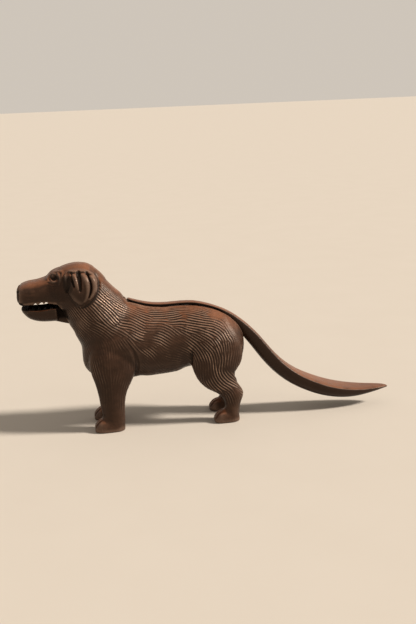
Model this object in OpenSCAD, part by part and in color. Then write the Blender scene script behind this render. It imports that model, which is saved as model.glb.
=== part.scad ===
// Dog-shaped lever nutcracker in cast iron, in millimetres.
// The dog stands on the plane z = 0 and looks along -X.  Its left and right halves part at y = 0.
// The tail is the lever: it runs forward over the back, turns down through a slot in the
// shoulders to the pivot pin behind the throat, and ends in the lower jaw.

/* [Body] */
// Width of the chest across both halves
body_w = 44; // [40:1:52]
// Width of the neck above the shoulders
neck_w = 38; // [34:1:42]
// Thickness of the casting around the hollow trunk
wall = 4.5; // [3.5:0.5:6]
// Thickness of each screw pillar's wall around the screw hole
pillar_wall = 3.5; // [2.5:0.5:4.5]

/* [Head] */
// Width of the skull, without the ears
head_w = 34; // [31:1:38]
// Width of the muzzle at the nut mouth
muzzle_w = 25; // [23:1:28]
// Thickness of each hanging ear
ear_t = 7.5; // [6:0.5:9]

/* [Legs] */
// Distance between the centres of a pair of paws
stance = 28; // [26:1:32]
// Thickness of a foreleg from side to side
leg_w = 12.5; // [11:0.5:14]
// Width of a paw
paw_w = 14; // [12.5:0.5:16]
// Height of a fore paw over the toes
paw_h = 10; // [8:0.5:12]

/* [Lever] */
// Distance of the pivot pin in front of the middle of the object
pivot_x = 90; // [89:0.5:91]
// Height of the pivot pin
pivot_z = 82; // [81:0.5:83]
// Angle by which the tail lifts to open the mouth
open_angle = 32; // [20:1:34]
// Thickness of the lever's inner web and of its hub
web_t = 6; // [4:0.5:8]
// Diameter of the hub around the pivot pin
hub_d = 17; // [15:0.5:19]
// Free space on each side of the web in its slot
side_gap = 0.5; // [0.3:0.1:1]
// Free space around the web's edges over its whole swing
swing_gap = 1.2; // [0.8:0.1:1.6]
// Width of the strap along the back
strap_w = 8; // [7:0.5:10]
// Thickness of the strap along the back
strap_t = 2.6; // [2.2:0.1:3.4]
// Space between the strap and the back under it
strap_gap = 0.35; // [0.3:0.05:0.6]
// Greatest width of the tail at its paddle
tail_w = 23.5; // [20:0.5:28]
// Greatest depth of the tail under the paddle
tail_t = 11; // [9:0.5:13]

/* [Jaws] */
// Width of the lower jaw
jaw_w = 24; // [22:0.5:26]
// Thickness of the lower jaw's rim around the nut trough
jaw_rim = 2.2; // [1.6:0.2:3]
// Thickness of the lower jaw's front wall, before the nut trough
chin_t = 4.65; // [3.65:0.25:5.15]
// Length of the nut trough from front to back
trough_l = 19.5; // [17:0.5:20.5]
// Distance from one cross tooth to the next
tooth_pitch = 4.4; // [3.6:0.2:5.2]
// Height of a cross tooth
tooth_h = 2.2; // [1.4:0.2:2.6]

/* [Hardware] */
// Diameter of the pivot pin
pin_d = 6; // [5:0.5:7]
// Length of the pivot pin
pin_l = 26; // [22:1:30]
// Radial play of the hub on the pin
pin_play = 0.08; // [0.05:0.01:0.1]
// Diameter of the three body screws
screw_d = 5; // [4:0.5:5.5]
// Reach of each screw into the left half, past the parting plane
screw_reach = 12; // [9:1:13]
// Diameter of a screw head
screw_head_d = 9; // [8:0.5:10]
// Height of a screw head
screw_head_h = 3; // [2.4:0.2:4]
// Diameter of the two locating dowels
dowel_d = 4; // [3:0.5:5]
// Length of the locating dowels
dowel_l = 12; // [8:1:14]
// Radial play of pins and dowels in the body halves
seat_play = 0.02; // [0.01:0.01:0.04]
// Radial space around a screw in its through hole
screw_space = 0.3; // [0.2:0.05:0.5]

/* [Hidden] */
$fn = 48;

// Iron as it is seen: brown wax over dark cast iron, and blued steel for the hardware
iron = [0.27, 0.16, 0.11];
steel = [0.35, 0.34, 0.34];

pivot = [-pivot_x, 0, pivot_z];
slot_w = web_t + 2 * side_gap;
// Play at the blind end of every hole
end_play = 0.5;
// How far a hole or a joined shape runs past the face that it starts from
past = 1;
// Reach of a block or a plate that cuts, well past the object on every side
far = 200;
// Places of the screws and dowels as [x, z] on the parting plane
head_screw_at = [-107, 105];
shoulder_screw_at = [-77, 54];
hip_screw_at = [3, 63];
front_dowel_at = [-122, 105];
rear_dowel_at = [18, 49];
// Depth of each screw seat under the right flank, as a distance from the parting plane
head_seat = 11;
flank_seat = 16;

// Where the web rises out of the hub: the radius of its front edge, and of its back edge
web_r0 = 35.5;
web_r1 = 60;

// --- Shapes made of rings -------------------------------------------------------------------

// A point on a smooth curve through b and c, at the share t of the way between them
function between(a, b, c, d, t) =
    0.5 * (2 * b + (c - a) * t + (2 * a - 5 * b + 4 * c - d) * t * t
        + (3 * b - a - 3 * c + d) * t * t * t);

// The stations of a form, with more of them filled in smoothly between each two
function filled(s, steps) = [
    for (i = [0 : len(s) - 2], j = [0 : steps - 1])
        between(s[max(i - 1, 0)], s[i], s[i + 1], s[min(i + 2, len(s) - 1)], j / steps),
    s[len(s) - 1]
];

// A sine or cosine pushed outwards, so that a ring becomes fuller than an ellipse
function full(v, f) = sign(v) * pow(abs(v), 1 - f);

// One ring of points around the station [x, y, z, heading, half depth, half width].
// Seen from the side the form runs along the heading, and the ring stands square to it.
// A seventh value is the depth above the station, where it isn't the same as below.
// The ring is numbered one way or the other by turn, 1 or -1.
function ring(s, sides, f, turn) = [
    for (i = [0 : sides - 1])
        let (a = turn * 360 * i / sides, above = len(s) > 6 && cos(a) > 0 ? s[6] : s[4],
            d = above * full(cos(a), f), w = s[5] * full(sin(a), f))
            [s[0] - d * sin(s[3]), s[1] + w, s[2] + d * cos(s[3])]
];

// The faces that join two rings, ring k and the next
function band(k, sides) = [
    for (i = [0 : sides - 1], h = [0, 1])
        let (a = k * sides + i, b = k * sides + (i + 1) % sides)
            h == 0 ? [b, a, a + sides] : [b + sides, b, a + sides]
];

// A closed form through its stations, with f as the fullness of its rings
module form(stations, sides = 24, steps = 2, f = 0) {
    s = filled(stations, steps);
    last = len(s) - 1;
    ends = [[s[0][0], s[0][1], s[0][2]], [s[last][0], s[last][1], s[last][2]]];
    // whether the stations follow the heading or run against it
    run = ends[1] - ends[0];
    turn = run[0] * cos(s[0][3]) + run[2] * sin(s[0][3]) > 0 ? -1 : 1;
    points = concat([for (r = s) each ring(r, sides, f, turn)], ends);
    tip = (last + 1) * sides;
    sides_faces = [for (k = [0 : last - 1]) each band(k, sides)];
    first_cap = [for (i = [0 : sides - 1]) [i, (i + 1) % sides, tip]];
    last_cap = [
        for (i = [0 : sides - 1]) [last * sides + (i + 1) % sides, last * sides + i, tip + 1]
    ];
    polyhedron(points, concat(sides_faces, first_cap, last_cap));
}

// Joins the forms inside it into the one skin of a casting
module casting() resize([0, 0, 0]) union() children();

// A round bar across the parting plane, from y0 to y1, at the place [x, z]
module across(at, d, y0, y1)
    translate([at[0], y0, at[1]]) rotate([-90, 0, 0]) cylinder(d = d, h = y1 - y0);

// A flat plate of the thickness t around the parting plane, drawn as [x, z] points
module plate(t) rotate([90, 0, 0]) linear_extrude(height = t, center = true) children();

// A point at the radius r and the angle a from the pivot, as [x, z]
function polar(r, a) = [-pivot_x + r * cos(a), pivot_z + r * sin(a)];

// --- The dog's forms ------------------------------------------------------------------------

// The trunk, as [x, lowest z, highest z, share of the chest's half width]
trunk = [
    [25, 52, 62, 0.25], [23.5, 46, 67, 0.52], [19.5, 42, 73, 0.74], [12, 41, 79.2, 0.88],
    [2, 41.5, 83.6, 0.92], [-10, 41.5, 86.4, 0.9], [-22, 39.2, 87.3, 0.87],
    [-34, 37.8, 87.3, 0.9], [-46, 37, 89, 0.95], [-57, 35.4, 92.6, 1], [-68, 34.4, 92, 1],
    [-78, 35.5, 87, 0.93], [-86, 39, 79, 0.76], [-91.5, 45, 68, 0.5], [-93, 51, 60, 0.25]
];
function trunk_rings(cut) = [
    for (s = trunk)
        [s[0], 0, (s[1] + s[2]) / 2, 0, (s[2] - s[1]) / 2 - cut, s[3] * body_w / 2 - cut]
];

// The neck, as [x, z, heading, half depth, share of the neck's half width]
neck = [
    [-69, 64, 125, 25, 1.1], [-74.3, 76, 123, 23.4, 1.08], [-84.6, 92.3, 121, 21, 0.98],
    [-89.8, 101.7, 118, 18.6, 0.9], [-92, 106, 116, 16, 0.84]
];

// The head above the mouth, as [x, lowest z, highest z, share of the half width]
muzzle = [
    [-136.3, 99, 104, 0.3], [-135.4, 96, 107.3, 0.66], [-133, 94.2, 109.4, 0.86],
    [-128, 93.6, 111.2, 0.97], [-122, 93.5, 111.9, 1], [-115, 93.5, 113.8, 1.03],
    [-108, 92, 117, 1.02]
];
skull = [
    [-117, 96, 112, 0.66], [-111.5, 91.5, 116.5, 0.84], [-105, 88.5, 120, 0.96],
    [-98, 88, 122.2, 1], [-91, 90, 122.7, 0.97], [-84, 97, 120.4, 0.82], [-78.6, 104, 114, 0.45]
];

// A foreleg and a hind leg, as [x, z, half length, share of the leg's half width, and how far
// the middle lies outside the paw's]
foreleg = [
    [-74, 74, 9, 0.8, -5], [-73.5, 66, 13, 1.15, -1.6], [-72.6, 55, 16, 1.35, 0],
    [-72, 45, 16.2, 1.32, 0.4], [-72.2, 37, 13.6, 1.2, 0.6], [-73.4, 29, 10.6, 1.08, 0.6],
    [-73.8, 20, 9, 1, 0.4], [-73.3, 12, 8.2, 0.98, 0], [-73.6, 5, 8.2, 1, 0], [-74, 0, 7.6, 1, 0]
];
hindleg = [
    [4, 78, 8, 0.7, -6], [3.4, 70, 14, 1.1, -2.4], [3, 61, 18.2, 1.32, -0.2],
    [2.8, 51, 19.8, 1.36, 0.4], [2.6, 43, 17.8, 1.28, 0.6], [1.6, 37.5, 15, 1.18, 0.6],
    [3.2, 31.5, 13.4, 1.06, 0.6], [7.7, 26, 12.4, 0.98, 0.4], [12.3, 22, 9.8, 0.94, 0.2],
    [14, 18, 7.6, 0.92, 0], [13.8, 13, 5.7, 0.88, 0], [13.2, 7, 5.4, 0.9, 0],
    [12.6, 0, 5.2, 0.92, 0]
];

// The paws, as [x, lowest z, share of the paw's height, share of its half width]
fore_paw = [[-65.6, 0, 0.5, 0.4], [-69, 0, 0.82, 0.85], [-77, 0, 0.98, 1], [-83.5, 0, 0.92, 1],
    [-87.6, 0, 0.5, 0.6]];
hind_paw = [[18.6, 0, 0.42, 0.4], [15, 0, 0.75, 0.82], [8, 0, 0.94, 0.92], [3, 0, 0.8, 0.9],
    [-0.4, 0, 0.42, 0.55]];

// An ear, as [x, y of its middle past the skull, z, half length, share of its thickness]
ear = [
    [-92.5, -4.4, 119.6, 6, 0.6], [-91.5, -1.6, 117, 10.4, 0.9], [-90.3, 0.8, 112, 11.3, 1.05],
    [-90, 1.8, 106, 10.2, 1], [-89.8, 1.6, 101, 8, 0.9], [-90.2, 0.8, 97, 4.2, 0.75],
    [-91, 0, 94.6, 1.2, 0.4]
];

function side_rings(list, half_w) = [
    for (s = list) [s[0], 0, (s[1] + s[2]) / 2, 0, (s[2] - s[1]) / 2, s[3] * half_w]
];
function leg_rings(list, side) = [
    for (s = list) [s[0], side * (stance / 2 + s[4]), s[1], 90, s[2], s[3] * leg_w / 2]
];
function paw_rings(list, side) = [
    for (s = list) [s[0], side * stance / 2, s[1], 0, s[2] * paw_h, s[3] * paw_w / 2]
];
function ear_rings(side) = [
    for (s = ear) [s[0], side * (head_w / 2 + s[1]), s[2], 90, s[3], s[4] * ear_t / 2]
];

// All the soft forms of one side
module dog_forms(side) {
    form(trunk_rings(0), sides = 32, steps = 2);
    form([for (s = neck) [s[0], 0, s[1], s[2], s[3], s[4] * neck_w / 2]], sides = 32);
    form(side_rings(muzzle, muzzle_w / 2), sides = 28, steps = 2, f = 0.28);
    form(side_rings(skull, head_w / 2), sides = 28, steps = 2, f = 0.1);
    form(leg_rings(foreleg, side));
    form(leg_rings(hindleg, side));
    form(paw_rings(fore_paw, side), sides = 20, f = 0.2);
    form(paw_rings(hind_paw, side), sides = 20, f = 0.2);
    form(ear_rings(side), sides = 18, f = 0.2);
}

// --- The tail and the strap -----------------------------------------------------------------

// The top of the strap and of the tail, as [x, z, share of its thickness, share of its width]
strap = [
    [-58.4, 94.8, 0.7, 0.8], [-50, 91.9, 1, 0.95], [-40, 89.7, 1, 1], [-30, 89.2, 1, 1],
    [-20, 89.5, 1, 1], [-10, 89, 1, 1], [0, 86.4, 1, 1], [8, 83.3, 1, 1]
];
tail = [
    [15, 79.8, 0.4, 0.36], [22, 75, 0.62, 0.4], [30, 68, 0.8, 0.48], [38, 59.3, 0.89, 0.58],
    [46, 49, 0.94, 0.69], [54, 40, 0.97, 0.79], [62, 33.2, 0.99, 0.88], [70, 28.2, 1, 0.94],
    [78, 24.3, 1, 0.98], [86, 21, 0.98, 1], [94, 18.4, 0.92, 0.98], [102, 16.5, 0.83, 0.92],
    [110, 15.2, 0.7, 0.83], [118, 14.4, 0.52, 0.7], [126, 14.1, 0.35, 0.52],
    [132, 13.9, 0.22, 0.34], [136, 13.2, 0.12, 0.14]
];
tail_line = concat(
    [for (s = strap) [s[0], s[1], s[2] * strap_t, s[3] * strap_w]],
    [for (s = tail) [s[0], s[1], s[2] * tail_t, s[3] * tail_w]]
);
// Share of the depth that lies above the edges: the top is only a little crowned
crown = 0.14;
// Heading of the top line at the station i
function heading(i) =
    let (a = tail_line[max(i - 1, 0)], b = tail_line[min(i + 1, len(tail_line) - 1)])
        atan2(b[1] - a[1], b[0] - a[0]);
// Rings of strap and tail, grown by g at the sides and below, and raised by up above
function tail_rings(g, up) = [
    for (i = [0 : len(tail_line) - 1])
        let (s = tail_line[i], h = heading(i), over = crown * s[2])
            [s[0] + over * sin(h), 0, s[1] - over * cos(h), h, s[2] - over + g, s[3] / 2 + g,
                over + up]
];

// --- The lever's inner web and the room that it swings in --------------------------------------

// The web's top edge behind the hub, as [radius, angle] from the pivot
web_top = [[14, 4], [20, -5], [28, -9], [web_r0, -10]];
// The web's bottom edge from the strap forward to the hub
web_bottom = [[web_r1, 3], [58, -2], [50, -11], [42, -22], [34, -32], [24, -41], [15, -50]];
// The angle at which the web's front edge meets the strap
web_rise = 15;
// The web's top edge in the middle of the strap, as [x, z]
web_roof = [
    for (s = strap)
        let (z = s[1] - s[2] * strap_t / 2, r = norm([s[0] - pivot[0], z - pivot[2]]))
            if (r > web_r0 && r < web_r1) [s[0], z]
];

// The arm from the hub to the jaw, as [radius, angle] from the pivot: it starts inside the hub
// and ends inside the back of the jaw
arm_start = hub_d / 2 - past / 2;
arm_end = 20.7;
arm = [[arm_start, 110], [arm_end, 160], [arm_end, 181.5], [arm_start, 215]];

// Hub, web and arm in one outline, as [x, z]
module lever_plan() {
    translate([pivot[0], pivot[2]]) circle(d = hub_d, $fn = 32);
    polygon([for (p = arm) polar(p[0], p[1])]);
    polygon(concat(
        [polar(hub_d / 2, 60)],
        [for (p = web_top) polar(p[0], p[1])],
        [for (a = [0 : 5 : web_rise]) polar(web_r0, a)],
        web_roof,
        [for (p = web_bottom) polar(p[0], p[1])],
        [polar(hub_d / 2, -80)]
    ));
}

// The room that the plan needs from rest to the open mouth
swing_step = 4;
module swing_outline() {
    for (a = [0 : swing_step : open_angle])
        translate([pivot[0], pivot[2]]) rotate(a) translate([-pivot[0], -pivot[2]])
            offset(delta = swing_gap) lever_plan();
}

// --- The jaws ---------------------------------------------------------------------------------

// Level of the teeth's tips above and below the nut
upper_tip = 95.6;
lower_tip = 90.6;
// Flat on the tip of a tooth, and flat between the roots of two teeth
tooth_flat = 0.8;
root_flat = 0.6;
// How far the palate and its row of teeth reach past the nut trough at each end
palate_past = 1.5;
// How far the upper teeth stay inside the cheeks on each side
tooth_inset = 2.5;

// A row of cross teeth that fills a length, pointing up or down from the level z
module teeth(length, width, z, up) {
    count = floor(length / tooth_pitch);
    for (i = [0 : count - 1])
        translate([mouth_x + (i - (count - 1) / 2) * tooth_pitch, 0, z])
            scale([1, 1, up])
                plate(width) polygon([
                    [(root_flat - tooth_pitch) / 2, -past], [-tooth_flat / 2, tooth_h],
                    [tooth_flat / 2, tooth_h], [(tooth_pitch - root_flat) / 2, -past]
                ]);
}

// What the mouth and the throat lose to the jaw's swing
mouth_outline = [
    [-140, 94.3], [-131.5, 94.6], [-128.5, 96], [-122, 96.6], [-113, 96.8], [-109.2, 96.2],
    [-107, 94.4], [-105.3, 91], [-104.4, 87], [-103.3, 80], [-115, 76], [-140, 80]
];
// The lower jaw below the level of its rim, as [x, lowest z, share of its half width]
rim_z = 92.8;
jaw = [
    [-133.9, 91.4, 0.3], [-133.2, 89.6, 0.52], [-131.4, 87.2, 0.74], [-128, 84.2, 0.92],
    [-122, 82.1, 1], [-115, 81.5, 1], [-108.7, 81.6, 0.97]
];
// Middle of the nut trough
mouth_x = jaw[0][0] + chin_t + trough_l / 2;
// What is cut away above the rim, which sags between nose and cheek
over_rim = [
    [-140, 110], [-140, rim_z], [-131, rim_z], [-126.5, 91.6], [-122, 91], [-116, 91.6],
    [-111.5, 92.4], [-100, 92.6], [-100, 110]
];

// --- Parts --------------------------------------------------------------------------------------

// Front and back end of the hollow in the trunk
hollow_front = -84;
hollow_back = 10;
// Height of the free room over the strap's channel
strap_room = 8;

// Everything on one side of the parting plane and above the ground: side is -1 or 1
module side_room(side) translate([-far, side > 0 ? 0 : -far, 0]) cube([2 * far, far, far]);

// One half of the dog without its holes: side is -1 for the left and 1 for the right
module half_blank(side) {
    casting() {
        difference() {
            dog_forms(side);
            // nothing past the parting plane, and nothing under the paws
            side_room(-side);
            translate([0, 0, -far]) {
                side_room(side);
                side_room(-side);
            }
            // the hollow trunk, but for the screw pillars
            difference() {
                intersection() {
                    form(trunk_rings(wall), sides = 14, steps = 1);
                    translate([hollow_front, -far, 0])
                        cube([hollow_back - hollow_front, 2 * far, far]);
                }
                for (at = [shoulder_screw_at, hip_screw_at])
                    across(at, screw_d + 2 * pillar_wall, -far, far);
            }
            // the room of the lever
            plate(slot_w) swing_outline();
            plate(far) polygon(mouth_outline);
            form(tail_rings(strap_gap, strap_room), sides = 12, f = 0.4);
        }
        // the teeth over the nut
        intersection() {
            teeth(trough_l + 2 * palate_past, muzzle_w - 2 * tooth_inset, upper_tip + tooth_h, -1);
            side_room(side);
        }
    }
}

// The left half: blind holes for pin, dowels and screws
module left_body_half() {
    color(iron) difference() {
        half_blank(-1);
        across([pivot[0], pivot[2]], pin_d + 2 * seat_play, -pin_l / 2 - end_play, past);
        for (at = [front_dowel_at, rear_dowel_at])
            across(at, dowel_d + 2 * seat_play, -dowel_l / 2 - end_play, past);
        for (at = [head_screw_at, shoulder_screw_at, hip_screw_at])
            across(at, screw_d + 2 * seat_play, -screw_reach - end_play, past);
    }
}

// The right half: the same, with the screws passing through to their sunk seats
module right_body_half() {
    color(iron) difference() {
        half_blank(1);
        across([pivot[0], pivot[2]], pin_d + 2 * seat_play, -past, pin_l / 2 + end_play);
        for (at = [front_dowel_at, rear_dowel_at])
            across(at, dowel_d + 2 * seat_play, -past, dowel_l / 2 + end_play);
        screw_way(head_screw_at, head_seat);
        screw_way(shoulder_screw_at, flank_seat);
        screw_way(hip_screw_at, flank_seat);
    }
}

// The through hole of a screw and the pocket of its head
module screw_way(at, seat) {
    across(at, screw_d + 2 * screw_space, -past, seat + past);
    across(at, screw_head_d + 2 * screw_space, seat, body_w);
}

// The lower jaw's block, shrunk all round by a thickness.  Its rings are widest a little over
// the rim, where they are cut off.
module jaw_form(less) {
    mid = rim_z + past;
    form(
        [for (s = jaw) [s[0], 0, mid, 0, mid - s[1] - less * s[2], s[2] * jaw_w / 2 - less]],
        sides = 28, f = 0.22
    );
}

// Tail, strap, web, hub and lower jaw: one casting
module jaw_lever() {
    color(iron) difference() {
        casting() {
            form(tail_rings(0, 0), sides = 22, f = 0.25);
            plate(web_t) lever_plan();
            difference() {
                jaw_form(0);
                plate(far) polygon(over_rim);
                intersection() {
                    jaw_form(jaw_rim);
                    translate([mouth_x - trough_l / 2, -far / 2, lower_tip - tooth_h])
                        cube([trough_l, far, far]);
                }
            }
            intersection() {
                jaw_form(0.4 * jaw_rim);
                teeth(trough_l, jaw_w, lower_tip - tooth_h, 1);
            }
        }
        across([pivot[0], pivot[2]], pin_d + 2 * pin_play, -web_t, web_t);
    }
}

// The pin on which the lever turns, held in blind holes of both halves
module pivot_pin() color(steel) across([pivot[0], pivot[2]], pin_d, -pin_l / 2, pin_l / 2);

// A dowel that lines up the two halves
module dowel(at) color(steel) across(at, dowel_d, -dowel_l / 2, dowel_l / 2);
module front_dowel() dowel(front_dowel_at);
module rear_dowel() dowel(rear_dowel_at);

// Width of the slot in a screw's head, its share of the head's height, and its turn
driver_w = 1.2;
driver_share = 0.45;
driver_turn = 30;

// A slotted cheese-head screw, seated in the right half and threaded into the left
module screw(at, seat) {
    color(steel) difference() {
        union() {
            across(at, screw_d, -screw_reach, seat + past);
            across(at, screw_head_d, seat, seat + screw_head_h);
        }
        translate([at[0], seat + screw_head_h, at[1]]) rotate([0, driver_turn, 0])
            cube([screw_head_d + past, 2 * driver_share * screw_head_h, driver_w], center = true);
    }
}
module head_screw() screw(head_screw_at, head_seat);
module shoulder_screw() screw(shoulder_screw_at, flank_seat);
module hip_screw() screw(hip_screw_at, flank_seat);

left_body_half();
right_body_half();
jaw_lever();
pivot_pin();
head_screw();
shoulder_screw();
hip_screw();
front_dowel();
rear_dowel();
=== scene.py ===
# %% [markdown]
# # A dog-shaped nutcracker in cast iron
# The object is a cast-iron dog that stands on four paws.  It was cast as a left and a right half
# and screwed together.  Its tail is a lever: it runs along the back, turns on a pin behind the
# throat and ends in the lower jaw.  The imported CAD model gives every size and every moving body,
# and this lesson dresses it: the coat of carved hair, the folds of the ears, the waxed iron.

import math
import bpy
import numpy as np
import openvdb
from mathutils import Matrix, Vector


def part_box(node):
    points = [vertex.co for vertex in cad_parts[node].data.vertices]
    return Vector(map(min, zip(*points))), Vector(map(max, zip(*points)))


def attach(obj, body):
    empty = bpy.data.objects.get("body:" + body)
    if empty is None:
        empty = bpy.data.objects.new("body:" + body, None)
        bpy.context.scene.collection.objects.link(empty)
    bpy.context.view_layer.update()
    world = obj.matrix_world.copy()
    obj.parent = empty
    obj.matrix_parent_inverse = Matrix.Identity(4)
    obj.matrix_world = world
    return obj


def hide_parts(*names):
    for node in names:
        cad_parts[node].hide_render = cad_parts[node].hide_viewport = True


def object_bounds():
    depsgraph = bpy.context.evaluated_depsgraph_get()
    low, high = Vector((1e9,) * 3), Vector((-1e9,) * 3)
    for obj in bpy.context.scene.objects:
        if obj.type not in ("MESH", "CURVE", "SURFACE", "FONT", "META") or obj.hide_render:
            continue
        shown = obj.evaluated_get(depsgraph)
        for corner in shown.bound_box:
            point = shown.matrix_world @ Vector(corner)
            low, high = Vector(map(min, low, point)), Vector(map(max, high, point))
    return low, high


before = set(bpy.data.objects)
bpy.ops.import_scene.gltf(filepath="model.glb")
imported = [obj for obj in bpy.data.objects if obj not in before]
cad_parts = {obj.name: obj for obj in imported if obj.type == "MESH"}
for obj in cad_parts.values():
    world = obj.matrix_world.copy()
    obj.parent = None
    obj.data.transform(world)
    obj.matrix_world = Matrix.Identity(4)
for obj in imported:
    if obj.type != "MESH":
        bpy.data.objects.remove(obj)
CAD_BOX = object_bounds()
MM = 0.001
BOX = np.array([list(corner) for corner in CAD_BOX]) / MM
print("CAD box in mm:", [[round(value / MM, 1) for value in corner] for corner in CAD_BOX])

# %% [markdown]
# ## The camera
# The photograph looks at the dog's left side, from a little towards its head and from above, and
# the picture is rolled by about two degrees.  The camera could be aimed with a constraint, but the
# roll is simpler to write as a rotation matrix.

# %% Camera
CAMERA_PLACE = Vector((-82.9, -675.0, 238.1)) * MM
CAMERA_AZIMUTH = math.radians(-7)
CAMERA_ELEVATION = math.radians(13.1)
CAMERA_ROLL = math.radians(2.315)
CAMERA_LENS = 55


def aimed(azimuth, elevation, roll):
    """The axes of a camera as a matrix: its right side, its upper side and its back."""
    back = Vector((
        math.sin(azimuth) * math.cos(elevation),
        -math.cos(azimuth) * math.cos(elevation),
        math.sin(elevation),
    ))
    level = Vector((math.cos(azimuth), math.sin(azimuth), 0))
    upright = level.cross(-back)
    right = math.cos(roll) * level - math.sin(roll) * upright
    up = math.sin(roll) * level + math.cos(roll) * upright
    return Matrix((right, up, back)).transposed().to_4x4()


camera_data = bpy.data.cameras.new("photo_camera")
camera_data.lens = CAMERA_LENS
camera = bpy.data.objects.new("photo_camera", camera_data)
camera.matrix_world = Matrix.Translation(CAMERA_PLACE) @ aimed(
    CAMERA_AZIMUTH, CAMERA_ELEVATION, CAMERA_ROLL
)
bpy.context.scene.collection.objects.link(camera)
bpy.context.scene.camera = camera
print("the camera stands", round(CAMERA_PLACE.length / MM), "mm from the floor under the dog")

# %% [markdown]
# ## Iron as a block of distances
# A casting has no sharp corner where a leg meets the trunk: the pattern maker fills it with a
# fillet.  Bevels can't find such places on a sculpted body, and sculpting by hand can't be
# written down.  A grid of signed distances can do both: each grid point holds how far it is from
# the surface, with a minus sign inside, and blurring the grid fills the creases.  OpenVDB, which
# Blender brings along, makes such a grid from the CAD mesh and turns it back into a mesh.

# %% Grids of signed distances, in millimetres
VOXEL = 0.5
BAND = 4.0


def triangles_of(node):
    """The vertices of a CAD node in mm, and its triangles."""
    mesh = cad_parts[node].data
    points = np.empty(len(mesh.vertices) * 3, np.float32)
    mesh.vertices.foreach_get("co", points)
    mesh.calc_loop_triangles()
    corners = np.empty(len(mesh.loop_triangles) * 3, np.int32)
    mesh.loop_triangles.foreach_get("vertices", corners)
    return points.reshape(-1, 3) / MM, corners.reshape(-1, 3)


class Block:
    """A box of grid points around a shape, with the distance to its surface at each."""

    def __init__(self, low, high):
        self.first = np.floor(np.array(low) / VOXEL).astype(int)
        self.shape = tuple(np.ceil(np.array(high) / VOXEL).astype(int) - self.first + 1)
        self.values = np.full(self.shape, BAND, np.float32)

    def fill(self, points, triangles):
        """Measures the distances to a closed mesh."""
        grid = openvdb.FloatGrid.createLevelSetFromPolygons(
            points.astype(np.float32),
            triangles=triangles.astype(np.uint32),
            transform=openvdb.createLinearTransform(voxelSize=VOXEL),
            halfWidth=BAND / VOXEL,
        )
        grid.copyToArray(self.values, ijk=tuple(int(i) for i in self.first))

    def like(self, values):
        """Another block of the same size."""
        other = Block.__new__(Block)
        other.first, other.shape, other.values = self.first, self.shape, values
        return other

    def axes(self, part=(slice(None),) * 3):
        """The coordinates along each axis, shaped so that they combine into a grid."""
        lines = [(self.first[i] + np.arange(self.shape[i])) * VOXEL for i in range(3)]
        lines = [line[part[i]].astype(np.float32) for i, line in enumerate(lines)]
        return lines[0][:, None, None], lines[1][None, :, None], lines[2][None, None, :]

    def near(self, low, high):
        """The part of the grid inside a box."""
        start = np.floor(np.array(low) / VOXEL).astype(int) - self.first
        stop = np.ceil(np.array(high) / VOXEL).astype(int) - self.first + 1
        return tuple(
            slice(max(int(a), 0), max(min(int(b), n), 0))
            for a, b, n in zip(start, stop, self.shape)
        )

    def sample(self, points):
        """The distance at any points, from the eight grid points around each."""
        place = points / VOXEL - self.first
        cell = np.clip(np.floor(place).astype(int), 0, np.array(self.shape) - 2)
        share = np.clip(place - cell, 0, 1).astype(np.float32)
        result = np.zeros(len(points), np.float32)
        for corner in np.ndindex(2, 2, 2):
            weight = np.prod(np.where(corner, share, 1 - share), axis=1)
            i, j, k = (cell + corner).T
            result += weight * self.values[i, j, k]
        return result

    def slope(self, points, step=VOXEL):
        """The direction away from the surface at any points."""
        slopes = np.stack([
            self.sample(points + step * axis) - self.sample(points - step * axis)
            for axis in np.eye(3)
        ], axis=1)
        return slopes / np.maximum(np.linalg.norm(slopes, axis=1, keepdims=True), 1e-6)


# %% [markdown]
# Three sums do the modelling.  A blur softens a shape.  The smaller of two distances joins two
# shapes, and a cut is the same sum with the first shape turned inside out.  Where the distances
# are close a little is added or taken away, which rounds the corner between the shapes.

# %% Blurring, joining and cutting
BLUR_REACH = 2.5


def blurred(values, sigma):
    """A block's values blurred over a distance in mm."""
    reach = int(math.ceil(BLUR_REACH * sigma / VOXEL))
    weights = np.exp(-0.5 * (np.arange(-reach, reach + 1) * VOXEL / sigma) ** 2)
    weights = (weights / weights.sum()).astype(np.float32)
    for axis in range(3):
        padded = np.pad(values, [(reach, reach) if i == axis else (0, 0) for i in range(3)], "edge")
        values = sum(
            weight * np.take(padded, range(k, k + values.shape[axis]), axis)
            for k, weight in enumerate(weights)
        )
    return values


def step_up(value, start, end):
    """0 below start, 1 above end, and smooth in between."""
    share = np.clip((value - start) / (end - start), 0, 1)
    return share * share * (3 - 2 * share)


def off_axis(x, z, middle):
    """How far places are from a line along Y."""
    return np.sqrt((x - middle[0]) ** 2 + (z - middle[1]) ** 2)


def joined(a, b, blend):
    """The union of two shapes with a fillet as wide as blend."""
    lap = np.maximum(blend - np.abs(a - b), 0) / blend
    return np.minimum(a, b) - lap * lap * blend / 4


def cut(a, b, blend):
    """Shape a without shape b, with the edges rounded over blend."""
    return -joined(-a, b, blend)


# %% [markdown]
# ## The two halves and the lever as blocks
# Both halves of the dog have the same outside, so one grid of the left half serves for both.
# The flat parting faces are left out and the half is doubled across them, because the blur must
# not round the dog off along the parting plane.

# %% The body and the lever as grids
# Room around each shape
MARGIN = 4
ON_PARTING = 0.01
body_points, body_triangles = triangles_of("left_body_half")
parting = (np.abs(body_points[body_triangles][:, :, 1]) < ON_PARTING).all(axis=1)
half_skin = body_triangles[~parting]
twin = half_skin[:, ::-1] + len(body_points)
mirrored = body_points * (1, -1, 1)
low, high = body_points.min(axis=0) - MARGIN, body_points.max(axis=0) + MARGIN
# The grid ends a little past the parting plane
PAST_PLANE = 2 * MARGIN
body = Block(low, (high[0], PAST_PLANE, high[2]))
body.fill(np.vstack([body_points, mirrored]), np.vstack([half_skin, twin]))

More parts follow.
